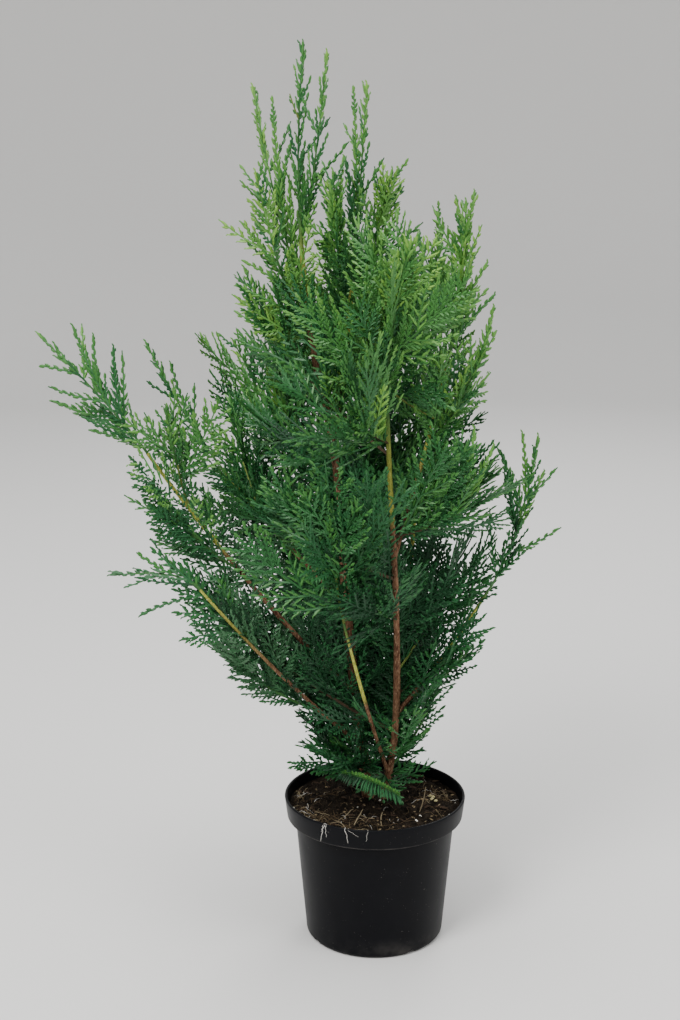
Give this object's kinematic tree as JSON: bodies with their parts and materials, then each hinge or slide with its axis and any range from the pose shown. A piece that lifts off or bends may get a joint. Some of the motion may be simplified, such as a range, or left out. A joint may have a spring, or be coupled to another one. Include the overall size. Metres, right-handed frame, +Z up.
{
  "type": "potted thuja",
  "caption": "Young evergreen thuja with two slender stems and upswept flat sprays of scale leaves, standing in a round nursery pot filled with compost.",
  "frame": {"origin": "centre of the pot's flat underside", "axes": "+Z up along the pot's axis, -Y towards the side of the plant that the picture shows, +X to the right as seen from there"},
  "size_m": [0.6016, 0.4348, 1.08],
  "materials": {
    "pot_plastic": "satin",
    "compost": "matte",
    "bark": "matte",
    "foliage": "matte"
  },
  "bodies": {
    "root": {"bough_front_shoot": "bark", "bough_leader": "bark", "bough_left_long": "bark", "bough_left_low": "bark", "bough_left_upper": "bark", "bough_rear": "bark", "bough_rear_left": "bark", "bough_rear_right": "bark", "bough_right_high": "bark", "bough_right_low": "bark", "compost": "compost", "far_left_fan": "foliage", "front_crown": "foliage", "front_fan": "foliage", "front_stem": "bark", "high_1": "foliage", "high_2": "foliage", "high_3": "foliage", "leader_front": "foliage", "leader_left": "foliage", "long_under": "foliage", "long_upper": "foliage", "low_1": "foliage", "low_2": "foliage", "low_3": "foliage", "low_left_fan": "foliage", "low_under": "foliage", "low_upper": "foliage", "middle_1": "foliage", "middle_2": "foliage", "middle_3": "foliage", "middle_4": "foliage", "pot": "pot_plastic", "rear_fan": "foliage", "rear_left_fan": "foliage", "rear_right_fan": "foliage", "right_foot": "foliage", "right_high_fan": "foliage", "right_high_side": "foliage", "right_low_fan": "foliage", "right_low_side": "foliage", "shoulder_1": "foliage", "shoulder_2": "foliage", "shoulder_3": "foliage", "skirt_1": "foliage", "skirt_2": "foliage", "skirt_3": "foliage", "spire_leader": "foliage", "spire_left": "foliage", "spire_left_low": "foliage", "spire_trunk": "foliage", "spire_trunk_side": "foliage", "trunk": "bark", "upper_left_fan": "foliage", "upper_left_side": "foliage", "upper_left_under": "foliage", "waist_1": "foliage", "waist_2": "foliage", "waist_3": "foliage", "waist_4": "foliage"}
  },
  "joints": []
}
